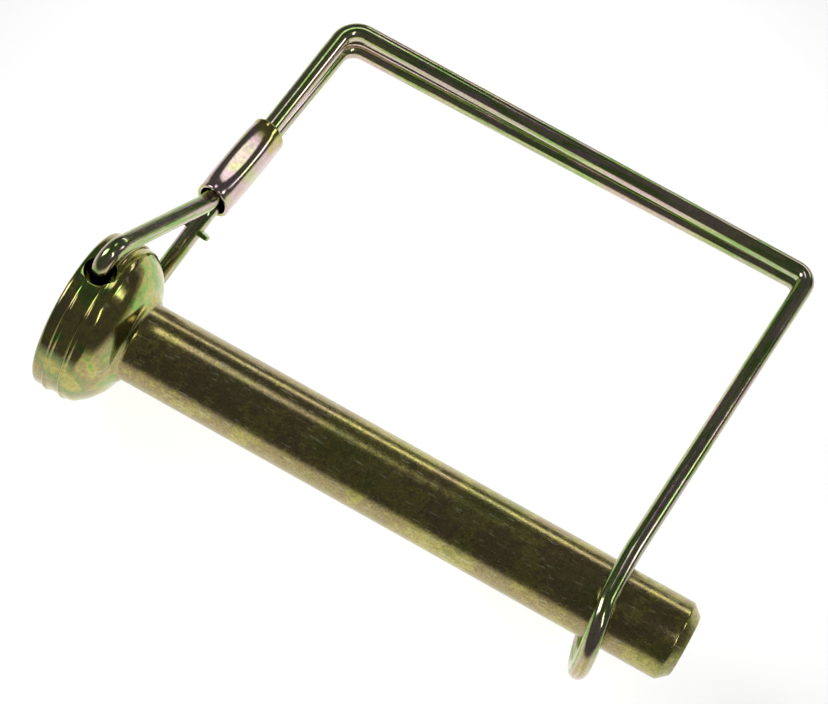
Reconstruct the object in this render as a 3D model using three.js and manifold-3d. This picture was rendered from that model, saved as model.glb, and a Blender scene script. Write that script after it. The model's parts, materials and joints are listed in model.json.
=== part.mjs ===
// Square two-wire lock pin: a headed pin with a sprung wire bail that closes round the pin's far end.
// Units are millimetres and +Z is up. The pin's axis runs along X, from the shoulder at X = 0 to the tip,
// and the bail stands off towards +Y. The assembly lies flat, with its lowest point at Z = 0.
import * as THREE from "three";
import { mergeVertices } from "three/addons/utils/BufferGeometryUtils.js";
import Module from "manifold-3d";

// pin
const shaftRadius = 4.7625;
const shaftLength = 71.2;
const tipChamfer = 1.1;
const headRadius = 9.6;
const headBackX = -6.55;
const bandEndX = -2.1;
const rimRound = 0.45;
const rimMidShare = 0.3;
const shoulderX = 1.65;
const domeEndX = -0.75;
const domeSweeps = [15, 30, 45, 60];
const coneRun = [
  [0.45, 7.5],
  [1.1, 6.35],
  [1.5, 5.5],
];
const ridgeHeight = 0.24;
const ridgeWidth = 0.5;
const ridgePositions = [-4.84, -2.8];
const pinSegments = 48;

// cross hole through the head, which is also the axis the bail swings on
const holeX = -4.2;
const holeY = 1.3;
const holeRadius = 1.85;
const holeSegments = 28;
const drillLength = 4 * headRadius;

// wire
const wireRadius = 1.1;
const wireSegments = 14;
const strandHalfPitch = 1.25;
const cornerHalfPitch = 2.0;
const hookEndZ = 3.5;
const hookCorner = [holeX, holeY, 13.4];
const hookBend = 2.2;
const mouthPoint = [-0.45, 18.6];
const mouthBend = 3.0;
const collarPoint = [0.75, 31.0];
const nearCorner = [2.1, 47.7];
const nearCornerBend = 2.6;
const farCorner = [64.3, 47.7];
const farCornerBend = 1.7;
const bendStep = THREE.MathUtils.degToRad(20);

// U loop round the shaft
const loopHalfWidth = 6.16;
const loopX = 61.15;
const loopTopY = 4.0;
const loopCentreY = -1.95;
const loopLean = 1.15;
const loopSteps = 12;
const hingeGapStart = 2.35;
const hingeGapEnd = 2.67;

// pinched stop ear on the lower strand
const earPosition = 0.885;
const earHalfWidth = 2.1;
const earHalfDepth = 0.55;
const earHalfLength = 0.4;

// crimped ferrule round both strands
const ferruleStartY = 19.6;
const ferruleEndY = 30.6;
const ferruleHalfWide = 2.1;
const ferruleHalfTall = 3.05;
const ferruleWall = 0.45;
const ferruleSegments = 36;

const wasm = await Module();
wasm.setup();

function toSolid(geometry) {
  const bare = geometry.clone();
  bare.deleteAttribute("normal");
  bare.deleteAttribute("uv");
  const merged = mergeVertices(bare, 1e-4);
  const vertProperties = new Float32Array(merged.attributes.position.array);
  const triVerts = new Uint32Array(merged.index.array);
  return new wasm.Manifold(new wasm.Mesh({ numProp: 3, vertProperties, triVerts }));
}

function toGeometry(solid) {
  const mesh = solid.getMesh();
  const geometry = new THREE.BufferGeometry();
  geometry.setAttribute("position", new THREE.BufferAttribute(mesh.vertProperties, 3));
  geometry.setIndex(new THREE.BufferAttribute(mesh.triVerts, 1));
  geometry.computeVertexNormals();
  return geometry;
}

// A path through listed points, read back point for point, so straight runs cost no extra sections.
class SectionPath extends THREE.Curve {
  constructor(points) {
    super();
    this.points = points;
  }

  get steps() {
    return this.points.length - 1;
  }

  getPoint(t, target = new THREE.Vector3()) {
    const index = Math.round(t * this.steps);
    return target.copy(this.points[index]);
  }

  getPointAt(u, target) {
    return this.getPoint(u, target);
  }

  getTangentAt(u, target = new THREE.Vector3()) {
    const index = Math.round(u * this.steps);
    const here = this.points[index];
    const before = this.points[Math.max(index - 1, 0)];
    const after = this.points[Math.min(index + 1, this.steps)];
    const incoming = here.clone().sub(before).normalize();
    const outgoing = after.clone().sub(here).normalize();
    return target.copy(incoming.add(outgoing).normalize());
  }
}

// Points of a run through the given corners, each corner rounded by an arc of its own bend radius.
function bentRun(corners) {
  const points = [];
  corners.forEach(({ at, bend }, index) => {
    if (!bend) {
      points.push(at.clone());
      return;
    }
    const back = corners[index - 1].at.clone().sub(at).normalize();
    const ahead = corners[index + 1].at.clone().sub(at).normalize();
    const turn = Math.PI - back.angleTo(ahead);
    const reach = bend * Math.tan(turn / 2);
    const inward = back.clone().add(ahead).normalize();
    const centre = at.clone().addScaledVector(inward, Math.hypot(reach, bend));
    const start = at.clone().addScaledVector(back, reach).sub(centre);
    const normal = start.clone().cross(back.clone().negate()).normalize();
    const steps = Math.max(2, Math.ceil(turn / bendStep));
    for (let step = 0; step <= steps; step += 1) {
      const swept = start.clone().applyAxisAngle(normal, (turn * step) / steps);
      points.push(swept.add(centre));
    }
  });
  return points;
}

function wireAlong(points) {
  const path = new SectionPath(points);
  const section = new THREE.Shape();
  section.absarc(0, 0, wireRadius, 0, 2 * Math.PI, false);
  return new THREE.ExtrudeGeometry(section, {
    steps: path.steps,
    curveSegments: wireSegments,
    extrudePath: path,
  });
}

function lathedAlongX(profile) {
  const points = profile.map(([x, radius]) => new THREE.Vector2(radius, x));
  const geometry = new THREE.LatheGeometry(points, pinSegments);
  return geometry.rotateZ(-Math.PI / 2);
}

// A low raised ridge turned on the head's band.
function ridgeProfile(x) {
  return [
    [x - ridgeWidth / 2, headRadius],
    [x, headRadius + ridgeHeight],
    [x + ridgeWidth / 2, headRadius],
  ];
}

// The dome between the head's band and its cone.
function domeProfile() {
  const domeRadius = domeEndX - bandEndX;
  return domeSweeps.map((degrees) => {
    const angle = THREE.MathUtils.degToRad(degrees);
    const x = bandEndX + domeRadius * Math.sin(angle);
    return [x, headRadius - domeRadius * (1 - Math.cos(angle))];
  });
}

function pinProfile() {
  const rimMid = rimMidShare * rimRound;
  return [
    [headBackX, 0],
    [headBackX, headRadius - rimRound],
    [headBackX + rimMid, headRadius - rimMid],
    [headBackX + rimRound, headRadius],
    ...ridgePositions.flatMap(ridgeProfile),
    [bandEndX, headRadius],
    ...domeProfile(),
    ...coneRun,
    [shoulderX, shaftRadius],
    [shaftLength - tipChamfer, shaftRadius],
    [shaftLength, shaftRadius - tipChamfer],
    [shaftLength, 0],
  ];
}

function pinGeometry() {
  const body = toSolid(lathedAlongX(pinProfile()));
  const drill = new THREE.CylinderGeometry(holeRadius, holeRadius, drillLength, holeSegments);
  drill.rotateX(Math.PI / 2).translate(holeX, holeY, 0);
  return toGeometry(body.subtract(toSolid(drill)));
}

// Where a loop arm's centre line runs, from the far corner down to the top of the U.
function armPoint(side, distance) {
  const top = new THREE.Vector3(...farCorner, side * strandHalfPitch);
  const bottom = new THREE.Vector3(loopX, loopTopY, side * loopHalfWidth);
  const along = bottom.sub(top).normalize();
  return top.addScaledVector(along, distance);
}

function strandCorners(side) {
  const [hookX, hookY, hookZ] = hookCorner;
  return [
    { at: new THREE.Vector3(holeX, holeY, side * hookEndZ) },
    { at: new THREE.Vector3(hookX, hookY, side * hookZ), bend: hookBend },
    { at: new THREE.Vector3(...mouthPoint, side * strandHalfPitch), bend: mouthBend },
    { at: new THREE.Vector3(...collarPoint, side * strandHalfPitch) },
    { at: new THREE.Vector3(...nearCorner, side * cornerHalfPitch), bend: nearCornerBend },
    { at: new THREE.Vector3(...farCorner, side * strandHalfPitch), bend: farCornerBend },
    { at: armPoint(side, hingeGapStart) },
  ];
}

function strandGeometry(side) {
  return wireAlong(bentRun(strandCorners(side)));
}

// The wings pinched out of the lower leg just below the ferrule, across the leg.
function earGeometry(side) {
  const hook = new THREE.Vector3(...hookCorner.slice(0, 2), side * hookCorner[2]);
  const mouth = new THREE.Vector3(...mouthPoint, side * strandHalfPitch);
  const along = mouth.clone().sub(hook).normalize();
  const across = new THREE.Vector3(1, 0, 0).addScaledVector(along, -along.x).normalize();
  const through = along.clone().cross(across);
  const wing = new THREE.BoxGeometry(2 * earHalfWidth, 2 * earHalfLength, 2 * earHalfDepth);
  const pose = new THREE.Matrix4().makeBasis(across, along, through);
  pose.setPosition(hook.lerp(mouth, earPosition));
  return wing.applyMatrix4(pose);
}

function lowerStrandGeometry() {
  const wire = toSolid(strandGeometry(-1));
  return toGeometry(wire.add(toSolid(earGeometry(-1))));
}

function loopPoints() {
  const upperArm = [armPoint(1, hingeGapEnd), new THREE.Vector3(loopX, loopTopY, loopHalfWidth)];
  const bow = [];
  for (let step = 0; step <= loopSteps; step += 1) {
    const angle = (Math.PI * step) / loopSteps;
    const x = loopX + loopLean * Math.sin(angle);
    const y = loopCentreY - loopHalfWidth * Math.sin(angle);
    bow.push(new THREE.Vector3(x, y, loopHalfWidth * Math.cos(angle)));
  }
  const lowerArm = [new THREE.Vector3(loopX, loopTopY, -loopHalfWidth), armPoint(-1, hingeGapEnd)];
  return [...upperArm, ...bow, ...lowerArm];
}

function ferruleGeometry() {
  const oval = new THREE.Shape();
  oval.absellipse(0, 0, ferruleHalfWide, ferruleHalfTall, 0, 2 * Math.PI, false);
  const bore = new THREE.Path();
  const boreWide = ferruleHalfWide - ferruleWall;
  const boreTall = ferruleHalfTall - ferruleWall;
  bore.absellipse(0, 0, boreWide, boreTall, 0, 2 * Math.PI, true);
  oval.holes.push(bore);
  const length = ferruleEndY - ferruleStartY;
  const sleeve = new THREE.ExtrudeGeometry(oval, {
    depth: length,
    curveSegments: ferruleSegments,
    bevelEnabled: false,
  });
  const lean = Math.atan2(collarPoint[0] - mouthPoint[0], collarPoint[1] - mouthPoint[1]);
  const run = (ferruleStartY - mouthPoint[1]) / (collarPoint[1] - mouthPoint[1]);
  const startX = THREE.MathUtils.lerp(mouthPoint[0], collarPoint[0], run);
  sleeve.rotateX(-Math.PI / 2).rotateZ(-lean);
  return sleeve.translate(startX, ferruleStartY, 0);
}

function plated(name, geometry, color, roughness) {
  const material = new THREE.MeshStandardMaterial({ color, roughness, metalness: 1 });
  const mesh = new THREE.Mesh(geometry, material);
  mesh.name = name;
  return mesh;
}

const meshes = [
  plated("pin", pinGeometry(), 0x8a8a52, 0.42),
  plated("upper_strand", strandGeometry(1), 0x9a9a68, 0.28),
  plated("lower_strand", lowerStrandGeometry(), 0x8f9a5e, 0.28),
  plated("lock_loop", wireAlong(loopPoints()), 0x93a070, 0.28),
  plated("ferrule", ferruleGeometry(), 0xa08f86, 0.3),
];

const bounds = new THREE.Box3();
meshes.forEach((mesh) => bounds.expandByObject(mesh));
meshes.forEach((mesh) => mesh.geometry.translate(0, 0, -bounds.min.z));

const lockPin = new THREE.Group();
lockPin.name = "hitch_pin_lock";
lockPin.add(...meshes);

export default lockPin;
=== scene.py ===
import math
import json
import bpy
import bmesh
from mathutils import Vector, Matrix, Euler


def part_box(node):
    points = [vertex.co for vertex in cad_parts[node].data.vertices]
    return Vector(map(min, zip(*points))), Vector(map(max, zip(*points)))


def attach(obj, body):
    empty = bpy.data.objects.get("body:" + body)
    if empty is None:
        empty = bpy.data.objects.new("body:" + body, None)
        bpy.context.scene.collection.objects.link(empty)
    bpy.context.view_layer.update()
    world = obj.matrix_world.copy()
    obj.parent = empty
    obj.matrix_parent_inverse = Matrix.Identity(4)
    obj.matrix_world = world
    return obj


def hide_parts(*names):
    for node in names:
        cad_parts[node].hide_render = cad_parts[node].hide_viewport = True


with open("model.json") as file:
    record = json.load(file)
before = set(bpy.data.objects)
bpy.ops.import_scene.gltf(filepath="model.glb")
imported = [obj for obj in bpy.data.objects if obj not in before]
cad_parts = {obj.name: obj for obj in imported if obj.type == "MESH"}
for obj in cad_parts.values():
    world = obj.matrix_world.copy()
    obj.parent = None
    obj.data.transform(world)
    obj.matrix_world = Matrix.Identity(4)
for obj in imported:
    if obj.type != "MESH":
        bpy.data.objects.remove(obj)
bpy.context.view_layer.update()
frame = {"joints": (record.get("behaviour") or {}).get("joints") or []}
mm = 0.001

# where the frame puts the pin's ends, the cross hole and the bail's far corner
pinLow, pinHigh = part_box("pin")
joints = {joint["name"]: joint for joint in frame["joints"]}
holeCentre = Vector(joints["bail_swing"]["pos_m"])
farCorner = Vector(joints["loop_spring_out"]["pos_m"])
axisZ = holeCentre.z
holeX, holeY = holeCentre.x / mm, holeCentre.y / mm
farX, farY = farCorner.x / mm, farCorner.y / mm
print("frame read, pin axis at", round(axisZ / mm, 2), "mm")


# Millimetres from the shoulder on the pin's axis, to a point in the frame.
def inFrame(x, y, z):
    return Vector((x * mm, y * mm, axisZ + z * mm))


# mesh helpers

def makeObject(name, vertices, faces, uvs=None, sharpAngle=35):
    mesh = bpy.data.meshes.new(name)
    mesh.from_pydata([tuple(v) for v in vertices], [], faces)
    if uvs:
        layer = mesh.uv_layers.new(name="run")
        for loopIndex, uv in enumerate(uvs):
            layer.data[loopIndex].uv = uv
    mesh.validate()
    mesh.update()
    mesh.shade_smooth()
    mesh.set_sharp_from_angle(angle=math.radians(sharpAngle))
    made = bpy.data.objects.new(name, mesh)
    bpy.context.scene.collection.objects.link(made)
    return made


# Points through corners given as (point, bend radius); straight runs between the arcs.
def smoothBend(corners, stepDegrees=5):
    points = []
    for index, (corner, bend) in enumerate(corners):
        if not bend:
            points.append(corner.copy())
            continue
        back = (corners[index - 1][0] - corner).normalized()
        ahead = (corners[index + 1][0] - corner).normalized()
        turn = math.pi - back.angle(ahead)
        reach = bend * math.tan(turn / 2)
        centre = corner + (back + ahead).normalized() * math.hypot(reach, bend)
        start = corner + back * reach - centre
        axis = start.cross(-back).normalized()
        steps = max(3, math.ceil(math.degrees(turn) / stepDegrees))
        for step in range(steps + 1):
            points.append(centre + Matrix.Rotation(turn * step / steps, 3, axis) @ start)
    return points


# The same run with its long straight stretches cut up.
def fillRun(points, longest=1.5 * mm):
    filled = [points[0]]
    for here, there in zip(points, points[1:]):
        pieces = max(1, math.ceil((there - here).length / longest))
        for piece in range(1, pieces + 1):
            filled.append(here.lerp(there, piece / pieces))
    return filled


marksRun = 10 * mm  # length of wire or shaft to one unit of the plating's marks
wireEnd = dict(reach=0.35, rounding=[(0.55, 0.82), (0.9, 0.45)])
wireWaves = (3.1 * mm, 7.7 * mm)


# A round wire swept along points, with closed, slightly rounded ends.
def wireTube(name, points, radius, startRun=0.0, around=32, wobble=0.0):
    count = len(points)
    tangents = []
    for index in range(count):
        before = points[max(index - 1, 0)]
        after = points[min(index + 1, count - 1)]
        tangents.append((after - before).normalized())
    side = tangents[0].orthogonal().normalized()
    rings, runs, run = [], [], startRun
    for index, (point, tangent) in enumerate(zip(points, tangents)):
        if index:
            run += (point - points[index - 1]).length
            side = (side - tangent * side.dot(tangent)).normalized()
        up = tangent.cross(side)
        swell = 1 + wobble * math.sin(run / wireWaves[0]) * math.sin(run / wireWaves[1])
        rings.append([point + (side * math.cos(a) + up * math.sin(a)) * radius * swell
                      for a in [2 * math.pi * k / around for k in range(around)]])
        runs.append(run)
    reach = radius * wireEnd["reach"]
    first = [[points[0] - tangents[0] * reach * out + (v - points[0]) * shrink for v in rings[0]]
             for out, shrink in wireEnd["rounding"]]
    last = [[points[-1] + tangents[-1] * reach * out + (v - points[-1]) * shrink for v in rings[-1]]
            for out, shrink in wireEnd["rounding"]]
    rings = first[::-1] + rings + last
    runs = [runs[0]] * len(first) + runs + [runs[-1]] * len(last)
    vertices = [v for ring in rings for v in ring]
    faces, uvs = [], []
    for row in range(len(rings) - 1):
        for k in range(around):
            a, b = row * around + k, row * around + (k + 1) % around
            faces.append((a, b, b + around, a + around))
            u0, u1 = k / around, (k + 1) / around
            v0, v1 = runs[row] / marksRun, runs[row + 1] / marksRun
            uvs += [(u0, v0), (u1, v0), (u1, v1), (u0, v1)]
    lastRow = (len(rings) - 1) * around
    faces.append(tuple(range(around - 1, -1, -1)))
    faces.append(tuple(lastRow + k for k in range(around)))
    uvs += [(0.5, runs[0] / marksRun)] * around
    uvs += [(0.5, runs[-1] / marksRun)] * around
    return makeObject(name, vertices, faces, uvs)


faceMarks = (30, 10)  # mm of an end face to one unit of the plating's marks
flatStep = 0.02  # mm along the axis; a step smaller than this is an end face


# A profile of (x, radius) in mm turned about the pin's axis.
def turned(name, profile, around=192, sharpAngle=28):
    vertices, faces, uvs = [], [], []
    for x, radius in profile:
        for k in range(around):
            a = 2 * math.pi * k / around
            vertices.append(inFrame(x, radius * math.cos(a), radius * math.sin(a)))

    # rolled out along the run, but laid flat on the end faces so marks don't fan out from the middle
    def uvAt(row, k, flat):
        x, radius = profile[row]
        a = 2 * math.pi * k / around
        if flat:
            return (radius * math.cos(a) / faceMarks[0], radius * math.sin(a) / faceMarks[1])
        return (k / around, x * mm / marksRun)

    for row in range(len(profile) - 1):
        flat = abs(profile[row + 1][0] - profile[row][0]) < flatStep
        for k in range(around):
            a, b = row * around + k, row * around + (k + 1) % around
            faces.append((a, a + around, b + around, b))
            corners = ((row, k), (row + 1, k), (row + 1, k + 1), (row, k + 1))
            uvs += [uvAt(atRow, atTurn, flat) for atRow, atTurn in corners]
    lastRow = (len(profile) - 1) * around
    faces.append(tuple(range(around)))
    faces.append(tuple(lastRow + k for k in range(around - 1, -1, -1)))
    uvs += [(0.5, 0)] * (2 * around)
    return makeObject(name, vertices, faces, uvs, sharpAngle)


# Profile points round an arc; 90 points away from the axis and 0 along +X.
def arcProfile(centreX, centreR, radius, startDeg, endDeg, steps=8):
    points = []
    for step in range(steps + 1):
        a = math.radians(startDeg + (endDeg - startDeg) * step / steps)
        points.append((centreX + radius * math.cos(a), centreR + radius * math.sin(a)))
    return points


# plating

platingTints = {
    "olive": (0.30, 0.30, 0.10),
    "moss": (0.26, 0.32, 0.12),
    "bronze": (0.36, 0.30, 0.14),
    "gold": (0.46, 0.41, 0.13),
    "green": (0.24, 0.40, 0.10),
    "brown": (0.35, 0.28, 0.13),
    "pink": (0.58, 0.43, 0.44),
    "straw": (0.50, 0.50, 0.26),
    "pale": (0.62, 0.68, 0.52),
}


# what every plated surface shares
grain = dict(driftDetail=3, driftBend=0.6, streakDetail=4, blotchDetail=6, blotchRoughness=0.65,
             speckDetail=5, speckFrom=0.35, speckTo=0.65, hairDetail=2, scratchFade=0.08,
             roughFrom=0.3, roughTo=0.7, scratchDulling=0.25, bumpDetail=4)


# Yellow zinc plating: bright metal whose tint drifts through gold, green and pink.
def platingMaterial(name, tints, settings):
    material = bpy.data.materials.new(name)
    material.use_nodes = True
    tree = material.node_tree
    nodes, links = tree.nodes, tree.links
    nodes.clear()
    output = nodes.new("ShaderNodeOutputMaterial")
    shader = nodes.new("ShaderNodeBsdfPrincipled")
    links.new(shader.outputs["BSDF"], output.inputs["Surface"])
    shader.inputs["Metallic"].default_value = 1.0

    uvMap = nodes.new("ShaderNodeUVMap")
    uvMap.uv_map = "run"
    objectPlace = nodes.new("ShaderNodeTexCoord")
    stretch = nodes.new("ShaderNodeMapping")
    stretch.inputs["Scale"].default_value = settings["streak"]
    links.new(uvMap.outputs["UV"], stretch.inputs["Vector"])

    drift = nodes.new("ShaderNodeTexNoise")
    drift.inputs["Scale"].default_value = settings["driftScale"]
    drift.inputs["Detail"].default_value = grain["driftDetail"]
    drift.inputs["Distortion"].default_value = grain["driftBend"]
    links.new(objectPlace.outputs["Object"], drift.inputs["Vector"])
    streaks = nodes.new("ShaderNodeTexNoise")
    streaks.inputs["Scale"].default_value = 1.0
    streaks.inputs["Detail"].default_value = grain["streakDetail"]
    links.new(stretch.outputs["Vector"], streaks.inputs["Vector"])
    blotch = nodes.new("ShaderNodeTexNoise")
    blotch.inputs["Scale"].default_value = settings["blotchScale"]
    blotch.inputs["Detail"].default_value = grain["blotchDetail"]
    blotch.inputs["Roughness"].default_value = grain["blotchRoughness"]
    links.new(objectPlace.outputs["Object"], blotch.inputs["Vector"])

    def mixed(first, second, share):
        mix = nodes.new("ShaderNodeMix")
        mix.data_type = "FLOAT"
        mix.inputs["Factor"].default_value = share
        links.new(first, mix.inputs["A"])
        links.new(second, mix.inputs["B"])
        return mix.outputs["Result"]

    phase = mixed(mixed(drift.outputs["Fac"], streaks.outputs["Fac"], settings["streakShare"]),
                  blotch.outputs["Fac"], settings["blotchShare"])
    ramp = nodes.new("ShaderNodeValToRGB")
    ramp.color_ramp.interpolation = "EASE"
    stops = ramp.color_ramp.elements
    while len(stops) > 1:
        stops.remove(stops[-1])
    first, last = settings["rampSpan"]
    for index, tint in enumerate(tints):
        place = first + (last - first) * index / (len(tints) - 1)
        stop = stops[0] if index == 0 else stops.new(place)
        stop.position = place
        stop.color = (*platingTints[tint], 1)
    links.new(phase, ramp.inputs["Fac"])

    # fine dark and light specks
    specks = nodes.new("ShaderNodeTexNoise")
    specks.inputs["Scale"].default_value = settings["speckScale"]
    specks.inputs["Detail"].default_value = grain["speckDetail"]
    links.new(objectPlace.outputs["Object"], specks.inputs["Vector"])
    speckRamp = nodes.new("ShaderNodeMapRange")
    speckRamp.inputs["From Min"].default_value = grain["speckFrom"]
    speckRamp.inputs["From Max"].default_value = grain["speckTo"]
    speckRamp.inputs["To Min"].default_value = settings["speckDark"]
    speckRamp.inputs["To Max"].default_value = settings["speckLight"]
    links.new(specks.outputs["Fac"], speckRamp.inputs["Value"])
    tinted = nodes.new("ShaderNodeMix")
    tinted.data_type = "RGBA"
    tinted.blend_type = "MULTIPLY"
    tinted.inputs["Factor"].default_value = 1
    links.new(ramp.outputs["Color"], tinted.inputs["A"])
    links.new(speckRamp.outputs["Result"], tinted.inputs["B"])

    # thin pale handling scratches, crossing at small angles
    marks = []
    for turn in settings["scratchTurns"]:
        lay = nodes.new("ShaderNodeMapping")
        lay.inputs["Rotation"].default_value = (0, 0, math.radians(turn))
        lay.inputs["Scale"].default_value = settings["scratchScale"]
        links.new(uvMap.outputs["UV"], lay.inputs["Vector"])
        hair = nodes.new("ShaderNodeTexNoise")
        hair.inputs["Scale"].default_value = 1.0
        hair.inputs["Detail"].default_value = grain["hairDetail"]
        links.new(lay.outputs["Vector"], hair.inputs["Vector"])
        keep = nodes.new("ShaderNodeMapRange")
        keep.inputs["From Min"].default_value = settings["scratchFloor"]
        keep.inputs["From Max"].default_value = settings["scratchFloor"] + grain["scratchFade"]
        links.new(hair.outputs["Fac"], keep.inputs["Value"])
        marks.append(keep.outputs["Result"])
    crossed = nodes.new("ShaderNodeMath")
    crossed.operation = "MAXIMUM"
    links.new(marks[0], crossed.inputs[0])
    links.new(marks[1], crossed.inputs[1])
    scratched = nodes.new("ShaderNodeMath")
    scratched.operation = "MULTIPLY"
    scratched.inputs[1].default_value = settings["scratchAmount"]
    links.new(crossed.outputs[0], scratched.inputs[0])
    worn = nodes.new("ShaderNodeMix")
    worn.data_type = "RGBA"
    worn.inputs["B"].default_value = (*platingTints["pale"], 1)
    links.new(scratched.outputs[0], worn.inputs["Factor"])
    links.new(tinted.outputs["Result"], worn.inputs["A"])
    links.new(worn.outputs["Result"], shader.inputs["Base Color"])

    roughness = nodes.new("ShaderNodeMapRange")
    roughness.inputs["From Min"].default_value = grain["roughFrom"]
    roughness.inputs["From Max"].default_value = grain["roughTo"]
    roughness.inputs["To Min"].default_value = settings["roughness"][0]
    roughness.inputs["To Max"].default_value = settings["roughness"][1]
    links.new(blotch.outputs["Fac"], roughness.inputs["Value"])
    duller = nodes.new("ShaderNodeMath")
    duller.operation = "MULTIPLY_ADD"
    duller.inputs[1].default_value = grain["scratchDulling"]
    links.new(scratched.outputs[0], duller.inputs[0])
    links.new(roughness.outputs["Result"], duller.inputs[2])
    links.new(duller.outputs[0], shader.inputs["Roughness"])

    bumps = nodes.new("ShaderNodeTexNoise")
    bumps.inputs["Scale"].default_value = settings["bumpScale"]
    bumps.inputs["Detail"].default_value = grain["bumpDetail"]
    links.new(objectPlace.outputs["Object"], bumps.inputs["Vector"])
    height = mixed(bumps.outputs["Fac"], streaks.outputs["Fac"], settings["bumpStreak"])
    bump = nodes.new("ShaderNodeBump")
    bump.inputs["Strength"].default_value = settings["bumpStrength"]
    bump.inputs["Distance"].default_value = settings["bumpHeight"] * mm
    links.new(height, bump.inputs["Height"])
    links.new(bump.outputs["Normal"], shader.inputs["Normal"])
    return material


shaftFinish = dict(
    streak=(5, 1.2, 1), driftScale=110, blotchScale=1300, streakShare=0.35, blotchShare=0.3,
    rampSpan=(0.36, 0.64), speckScale=4200, speckDark=0.72, speckLight=1.15,
    roughness=(0.17, 0.27), bumpScale=1500, bumpStreak=0.2, bumpStrength=0.3, bumpHeight=0.02,
    scratchTurns=(18, -24), scratchScale=(95, 4, 1), scratchFloor=0.64, scratchAmount=0.5,
)
headFinish = dict(
    streak=(4, 1.5, 1), driftScale=130, blotchScale=900, streakShare=0.2, blotchShare=0.2,
    rampSpan=(0.38, 0.62), speckScale=2600, speckDark=0.85, speckLight=1.1, roughness=(0.10, 0.17),
    bumpScale=420, bumpStreak=0.1, bumpStrength=0.35, bumpHeight=0.03, scratchTurns=(10, -40),
    scratchScale=(60, 6, 1), scratchFloor=0.66, scratchAmount=0.4,
)
wireFinish = dict(
    streak=(9, 0.35, 1), driftScale=60, blotchScale=900, streakShare=0.62, blotchShare=0.1,
    rampSpan=(0.38, 0.62), speckScale=3200, speckDark=0.85, speckLight=1.1, roughness=(0.10, 0.19),
    bumpScale=1300, bumpStreak=0.4, bumpStrength=0.3, bumpHeight=0.02, scratchTurns=(6, -9),
    scratchScale=(26, 1.5, 1), scratchFloor=0.62, scratchAmount=0.25,
)
ferruleFinish = dict(
    streak=(2, 0.5, 1), driftScale=90, blotchScale=500, streakShare=0.3, blotchShare=0.1,
    rampSpan=(0.38, 0.62), speckScale=2600, speckDark=0.88, speckLight=1.08, roughness=(0.12, 0.2),
    bumpScale=450, bumpStreak=0.2, bumpStrength=0.3, bumpHeight=0.04, scratchTurns=(10, -15),
    scratchScale=(20, 3, 1), scratchFloor=0.62, scratchAmount=0.3,
)

shaftTints = ["olive", "bronze", "brown", "gold", "olive", "bronze"]
# the head's tints are lighter than the shaft's: a lit copy of the same plating, painted highlight
headLitTints = ["olive", "green", "gold", "bronze", "moss", "gold"]
wireTints = ["gold", "pink", "straw", "green", "pink", "straw"]
ferruleTints = ["pink", "straw", "pink", "gold", "green"]
shaftMetal = platingMaterial("pin plating", shaftTints, shaftFinish)
headLitMetal = platingMaterial("head plating lit copy", headLitTints, headFinish)
wireMetal = platingMaterial("wire plating", wireTints, wireFinish)
ferruleMetal = platingMaterial("ferrule plating", ferruleTints, ferruleFinish)
print("plating made")

# pin, in mm along and out from its axis
pin = dict(
    headBack=pinLow[0] / mm, length=pinHigh[0] / mm, headRadius=9.6, shaftRadius=4.7625,
    rim=0.5, backEdge=[(0, 0.4), (0.04, 0.15)],
    ridges=(-4.84, -2.8), ridgeHeight=0.23, ridgeHalf=0.36, ridgeSteps=8,
    bandEnd=-2.1, domeRadius=1.15, shoulder=1.7,
    cone=[(-0.6, 8.75), (0.0, 8.1), (0.5, 7.45), (0.85, 6.85), (1.02, 6.45), (1.12, 6.05)],
    fillet=[(1.22, 5.75), (1.4, 5.5), (1.6, 5.3), (1.72, 5.08), (1.85, 4.88), (2.1, 4.77)],
    shaftStart=4, shaftStop=70, shaftStep=3,
    chamfer=1.1, outerRound=0.5, outerBack=0.35, innerRound=0.25, innerDrop=0.12, axisGap=0.02,
    holeRadius=1.85, drillReach=12, holeEdge=0.16, holeEdgeSegments=3, edgeAngle=50, sharpAngle=32,
)


# A low rounded ridge.
def ridge(x):
    half, steps, height = pin["ridgeHalf"], pin["ridgeSteps"], pin["ridgeHeight"]
    return [(x - half + 2 * half * s / steps, pin["headRadius"] + height * math.sin(math.pi * s / steps))
            for s in range(steps + 1)]


def pinProfile():
    back, end = pin["headBack"], pin["length"]
    head, shaft, rim, dome = pin["headRadius"], pin["shaftRadius"], pin["rim"], pin["domeRadius"]
    profile = [(back, pin["axisGap"])]
    profile += [(back + along, head - rim - drop) for along, drop in pin["backEdge"]]
    profile += arcProfile(back + rim, head - rim, rim, 170, 90, 6)
    for x in pin["ridges"]:
        profile += ridge(x)
    profile += arcProfile(pin["bandEnd"], head - dome, dome, 88, 42, 8)
    profile += pin["cone"] + pin["fillet"]
    profile += [(x, shaft) for x in range(pin["shaftStart"], pin["shaftStop"], pin["shaftStep"])]
    outer, inner = pin["outerRound"], pin["innerRound"]
    profile += arcProfile(end - pin["chamfer"] - pin["outerBack"], shaft - outer, outer, 85, 48, 5)
    profile += arcProfile(end - inner, shaft - pin["chamfer"] - pin["innerDrop"], inner, 42, 8, 3)
    profile += [(end, pin["axisGap"])]
    return profile


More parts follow.
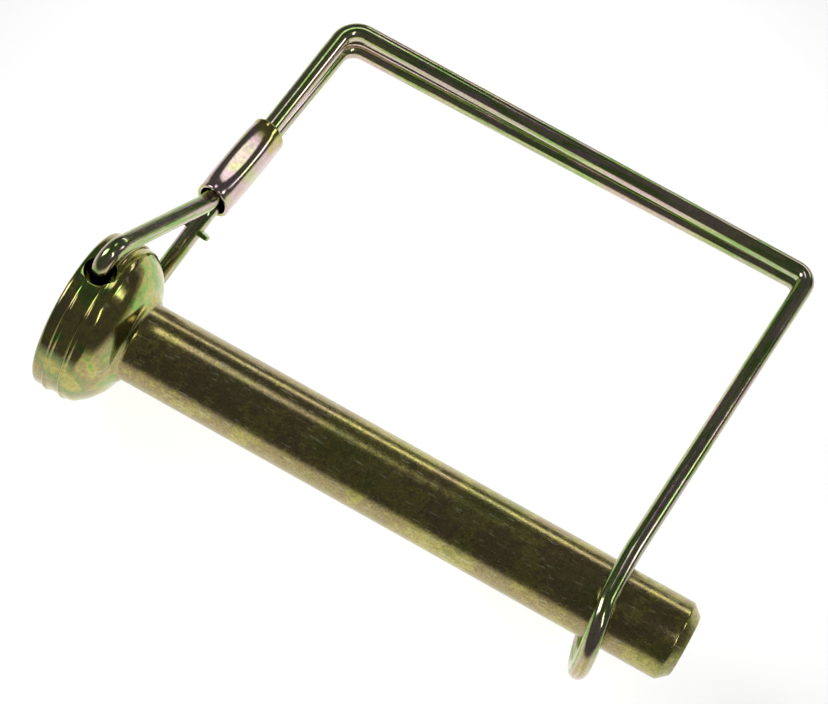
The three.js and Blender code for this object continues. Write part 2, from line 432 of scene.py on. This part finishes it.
pinPiece = turned("pinBody", pinProfile())
drillRun = [inFrame(holeX, holeY, -pin["drillReach"]), inFrame(holeX, holeY, pin["drillReach"])]
cutter = wireTube("holeCutter", drillRun, pin["holeRadius"] * mm, around=96)
cut = pinPiece.modifiers.new("cross hole", "BOOLEAN")
cut.operation = "DIFFERENCE"
cut.object = cutter
cut.solver = "EXACT"
soften = pinPiece.modifiers.new("hole edge", "BEVEL")
soften.width = pin["holeEdge"] * mm
soften.segments = pin["holeEdgeSegments"]
soften.limit_method = "ANGLE"
soften.angle_limit = math.radians(pin["edgeAngle"])
evaluated = pinPiece.evaluated_get(bpy.context.evaluated_depsgraph_get())
cutMesh = bpy.data.meshes.new_from_object(evaluated)
pinPiece.modifiers.clear()
pinPiece.data = cutMesh
cutMesh.set_sharp_from_angle(angle=math.radians(pin["sharpAngle"]))
bpy.data.objects.remove(cutter)
pinPiece.data.materials.clear()
pinPiece.data.materials.append(shaftMetal)
# the head faces take the lighter plating copy, painted highlight for the light the head catches
pinPiece.data.materials.append(headLitMetal)
for face in pinPiece.data.polygons:  # the head gets a lighter, lit copy of the plating: painted highlight
    face.material_index = 1 if face.center.x < pin["shoulder"] * mm else 0
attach(pinPiece, "pin")
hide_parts("pin")
print("pin turned and drilled:", len(cutMesh.polygons), "faces")

# bail wire, in mm; the wire is a hair thin so that it stays inside the frame's own box
bail = dict(
    wireRadius=1.089, hookEnd=3.5, hookTop=13.4, hookBend=2.2, mouth=(-0.45, 18.6), mouthBend=3.0,
    collar=(0.75, 31.0), collarBend=18, nearCorner=(2.1, farY), nearBend=2.6, farBend=1.7,
    halfPitch=1.25, cornerHalfPitch=2.0, armStart=2.5, strandWobble=0.006, lowerStart=0.37,
)
loop = dict(x=61.15, topY=4.0, centreY=-1.95, halfWidth=6.16, lean=1.15, shoulderBend=20, armLap=0.5,
            bowSteps=36, thinning=0.999, wobble=0.004, start=0.81)


def armPoint(side, distance):
    top = Vector((farX, farY, side * bail["halfPitch"]))
    bottom = Vector((loop["x"], loop["topY"], side * loop["halfWidth"]))
    return top + (bottom - top).normalized() * distance


def strandRun(side):
    pitch = side * bail["halfPitch"]
    corners = [
        ((holeX, holeY, side * bail["hookEnd"]), 0),
        ((holeX, holeY, side * bail["hookTop"]), bail["hookBend"]),
        ((*bail["mouth"], pitch), bail["mouthBend"]),
        ((*bail["collar"], pitch), bail["collarBend"]),
        ((*bail["nearCorner"], side * bail["cornerHalfPitch"]), bail["nearBend"]),
        ((farX, farY, pitch), bail["farBend"]),
        (tuple(armPoint(side, bail["armStart"])), 0),
    ]
    return fillRun(smoothBend([(inFrame(*at), bend * mm) for at, bend in corners]))


strandRadius = bail["wireRadius"] * mm
upperStrand = wireTube("upperStrand", strandRun(1), strandRadius, wobble=bail["strandWobble"])
upperStrand.data.materials.append(wireMetal)
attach(upperStrand, "bail")
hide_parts("upper_strand")

ear = dict(place=0.885, wide=2.1, deep=0.85, long=0.3, squareness=0.6, rim=40, uv=(0.3, 0.2),
           layers=[(-1, 0.9), (-0.75, 1), (0.75, 1), (1, 0.9)])


# The pinched wings on the lower leg: a thin rounded plate across the wire.
def earMesh():
    hook = inFrame(holeX, holeY, -bail["hookTop"])
    mouth = inFrame(*bail["mouth"], -bail["halfPitch"])
    along = (mouth - hook).normalized()
    across = Vector((1, 0, 0))
    across = (across - along * along.x).normalized()
    through = along.cross(across)
    centre = hook.lerp(mouth, ear["place"])
    rim = ear["rim"]
    vertices = []
    for lift, shrink in ear["layers"]:
        for k in range(rim):
            a = 2 * math.pi * k / rim
            flat = [math.copysign(abs(f) ** ear["squareness"], f) for f in (math.cos(a), math.sin(a))]
            vertices.append(centre + across * flat[0] * ear["wide"] * mm * shrink
                            + through * flat[1] * ear["deep"] * mm * shrink
                            + along * lift * ear["long"] * mm)
    lastLayer = (len(ear["layers"]) - 1) * rim
    faces = [tuple(range(rim - 1, -1, -1)), tuple(lastLayer + k for k in range(rim))]
    for row in range(len(ear["layers"]) - 1):
        for k in range(rim):
            a, b = row * rim + k, row * rim + (k + 1) % rim
            faces.append((a, b, b + rim, a + rim))
    return vertices, faces


lowerStrand = wireTube("lowerStrand", strandRun(-1), strandRadius, bail["lowerStart"],
                       wobble=bail["strandWobble"])
earVertices, earFaces = earMesh()
earPiece = makeObject("earPart", earVertices, earFaces, [ear["uv"]] * sum(len(f) for f in earFaces))
joined = bmesh.new()
joined.from_mesh(lowerStrand.data)
joined.from_mesh(earPiece.data)
joined.to_mesh(lowerStrand.data)
joined.free()
bpy.data.objects.remove(earPiece)
lowerStrand.data.materials.append(wireMetal)
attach(lowerStrand, "bail")
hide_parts("lower_strand")


def loopRun():
    def bow(a):
        return inFrame(loop["x"] + loop["lean"] * math.sin(a),
                       loop["centreY"] - loop["halfWidth"] * math.sin(a),
                       loop["halfWidth"] * math.cos(a))

    def arm(side):
        return [(inFrame(*armPoint(side, bail["armStart"] - loop["armLap"])), 0),
                (inFrame(loop["x"], loop["topY"], side * loop["halfWidth"]), loop["shoulderBend"] * mm)]

    steps = loop["bowSteps"]
    curve = [(bow(math.pi * step / steps), 0) for step in range(steps + 1)]
    return fillRun(smoothBend(arm(1) + curve + arm(-1)[::-1], stepDegrees=1))


lockLoop = wireTube("lockLoop", loopRun(), strandRadius * loop["thinning"], loop["start"],
                    wobble=loop["wobble"])
lockLoop.data.materials.append(wireMetal)
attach(lockLoop, "loop")
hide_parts("lock_loop")
print("bail wire bent")

# ferrule
ferrule = dict(
    start=19.55, end=30.65, wide=2.1, tall=3.05, wall=0.45, crimp=0.16, dent=0.12, dentWidth=0.3,
    roundPower=2.1, squarePower=2.9, plainEnd=0.08, bellReach=0.1, bellWide=0.04, bellTall=0.03,
    lip=0.006, lipEnd=0.02, lipInset=0.1, lipStep=0.03, boreFlare=0.08,
)


# An oval sleeve with flattened faces, a crimped middle and slightly belled ends.
def ferruleMesh(around=96, along=40):
    foot = inFrame(*bail["mouth"], 0)
    head = inFrame(*bail["collar"], 0)
    axis = (head - foot).normalized()
    across = axis.cross(Vector((0, 0, 1))).normalized()
    vertices, faces, uvs = [], [], []

    def ring(share, inset, belled):
        y = ferrule["start"] + (ferrule["end"] - ferrule["start"]) * share
        centre = foot + axis * ((y - bail["mouth"][1]) * mm / axis.y)
        pressed = (share - ferrule["plainEnd"]) / (1 - 2 * ferrule["plainEnd"])
        middle = math.sin(math.pi * min(max(pressed, 0), 1)) ** 0.5
        power = 2 / (ferrule["roundPower"] + (ferrule["squarePower"] - ferrule["roundPower"]) * middle)
        for k in range(around):
            a = 2 * math.pi * k / around
            c, s = math.cos(a), math.sin(a)
            wide = ferrule["wide"] - inset + ferrule["bellWide"] * belled
            tall = ferrule["tall"] - inset - ferrule["crimp"] * middle + ferrule["bellTall"] * belled
            dent = ferrule["dent"] * middle * math.exp(-(c / ferrule["dentWidth"]) ** 2)
            x = math.copysign(abs(c) ** power, c) * wide
            z = math.copysign(abs(s) ** power, s) * (tall - dent)
            vertices.append(centre + across * x * mm + Vector((0, 0, z * mm)))

    lip, lipEnd = ferrule["lip"], ferrule["lipEnd"]
    between = [lipEnd + (1 - 2 * lipEnd) * step / along for step in range(along + 1)]
    shares = [0, lip] + between + [1 - lip, 1]
    atEnd, nearEnd = ferrule["lipInset"], ferrule["lipStep"]
    lipInsets = {0: atEnd, lip: nearEnd, 1 - lip: nearEnd, 1: atEnd}
    outside = [(share, lipInsets.get(share, 0)) for share in shares]
    inside = [(share, ferrule["wall"] - (ferrule["boreFlare"] if share in (0, 1) else 0))
              for share in reversed(shares)]
    rows = outside + inside
    for share, inset in rows:
        ring(share, inset, max(0, 1 - min(share, 1 - share) / ferrule["bellReach"]))
    count = len(rows)
    for row in range(count):
        nextRow = (row + 1) % count
        for k in range(around):
            a, b = row * around + k, row * around + (k + 1) % around
            c, d = nextRow * around + (k + 1) % around, nextRow * around + k
            faces.append((a, b, c, d))
            u0, u1 = k / around, (k + 1) / around
            v0, v1 = rows[row][0], rows[nextRow][0]
            uvs += [(u0, v0), (u1, v0), (u1, v1), (u0, v1)]
    return vertices, faces, uvs


ferrulePiece = makeObject("ferruleSleeve", *ferruleMesh(), sharpAngle=50)
ferrulePiece.data.materials.append(ferruleMetal)
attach(ferrulePiece, "bail")
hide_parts("ferrule")

# every face turned outwards
for piece in (pinPiece, upperStrand, lowerStrand, lockLoop, ferrulePiece):
    fixNormals = bmesh.new()
    fixNormals.from_mesh(piece.data)
    bmesh.ops.recalc_face_normals(fixNormals, faces=fixNormals.faces)
    fixNormals.to_mesh(piece.data)
    fixNormals.free()
print("ferrule pressed")

# floor, light and camera
studio = dict(floorHalf=1.2, floorDrop=0.0002, floorTone=0.93, floorRoughness=0.9, skyStrength=0.09)
half = studio["floorHalf"]
floorMesh = bpy.data.meshes.new("floor")
floorCorners = [(-half, -half, 0), (half, -half, 0), (half, half, 0), (-half, half, 0)]
floorMesh.from_pydata(floorCorners, [], [(0, 1, 2, 3)])
floor = bpy.data.objects.new("floor", floorMesh)
floor.location.z = -studio["floorDrop"]
bpy.context.scene.collection.objects.link(floor)
floorPaint = bpy.data.materials.new("floor paint")
floorPaint.use_nodes = True
floorShader = floorPaint.node_tree.nodes["Principled BSDF"]
floorShader.inputs["Base Color"].default_value = (*[studio["floorTone"]] * 3, 1)
floorShader.inputs["Roughness"].default_value = studio["floorRoughness"]
floorMesh.materials.append(floorPaint)

world = bpy.data.worlds.new("studio")
world.use_nodes = True
sky = world.node_tree.nodes["Background"]
sky.inputs["Color"].default_value = (1, 1, 1, 1)
sky.inputs["Strength"].default_value = studio["skyStrength"]
bpy.context.scene.world = world

middle = Vector((0.030, 0.020, axisZ))  # what the lamps are turned to
lamps = {
    "leftBox": dict(place=(-0.42, -0.05, 0.40), size=(0.22, 0.30), power=0.9),
    "rightBox": dict(place=(0.30, -0.12, 0.42), size=(0.05, 0.26), power=0.22),
    "headBox": dict(place=(-0.09, 0.25, 0.45), size=(0.10, 0.12), power=0.075),
    "tipBox": dict(place=(0.42, 0.22, 0.24), size=(0.10, 0.12), power=0.13),
    "farStrip": dict(place=(0.10, 0.62, 0.20), size=(0.5, 0.08), power=0.35),
}
for lampName, lamp in lamps.items():
    data = bpy.data.lights.new(lampName, "AREA")
    data.shape = "RECTANGLE"
    data.size, data.size_y = lamp["size"]
    data.energy = lamp["power"]
    light = bpy.data.objects.new(lampName, data)
    light.location = lamp["place"]
    light.rotation_euler = (middle - Vector(lamp["place"])).to_track_quat("-Z", "Y").to_euler()
    bpy.context.scene.collection.objects.link(light)

# one overhead spot makes the pale pool that the pin lies in, with no shadow of its own
pool = dict(place=(0.02, 0.50, 0.90), angle=15, power=44, radius=0.08, fade=0.75)
poolData = bpy.data.lights.new("poolSpot", "SPOT")
poolData.energy = pool["power"]
poolData.spot_size = math.radians(pool["angle"])
poolData.spot_blend = pool["fade"]
poolData.shadow_soft_size = pool["radius"]
poolData.use_shadow = False
poolLight = bpy.data.objects.new("poolSpot", poolData)
poolLight.location = pool["place"]
poolLight.visible_glossy = False
poolLight.rotation_euler = (middle - Vector(pool["place"])).to_track_quat("-Z", "Y").to_euler()
bpy.context.scene.collection.objects.link(poolLight)

view = dict(place=(0.055628, -0.095094, 0.260735), turn=(23.6759, -6.7694, 28.7019),
            lens=104.2, sensor=36, near=0.01)
cameraData = bpy.data.cameras.new("camera")
cameraData.sensor_width = view["sensor"]
cameraData.lens = view["lens"]
cameraData.clip_start = view["near"]
camera = bpy.data.objects.new("camera", cameraData)
camera.location = view["place"]
camera.rotation_euler = Euler([math.radians(angle) for angle in view["turn"]], "XYZ")
bpy.context.scene.collection.objects.link(camera)
bpy.context.scene.camera = camera
bpy.context.scene.view_settings.view_transform = "Standard"
print("studio set")
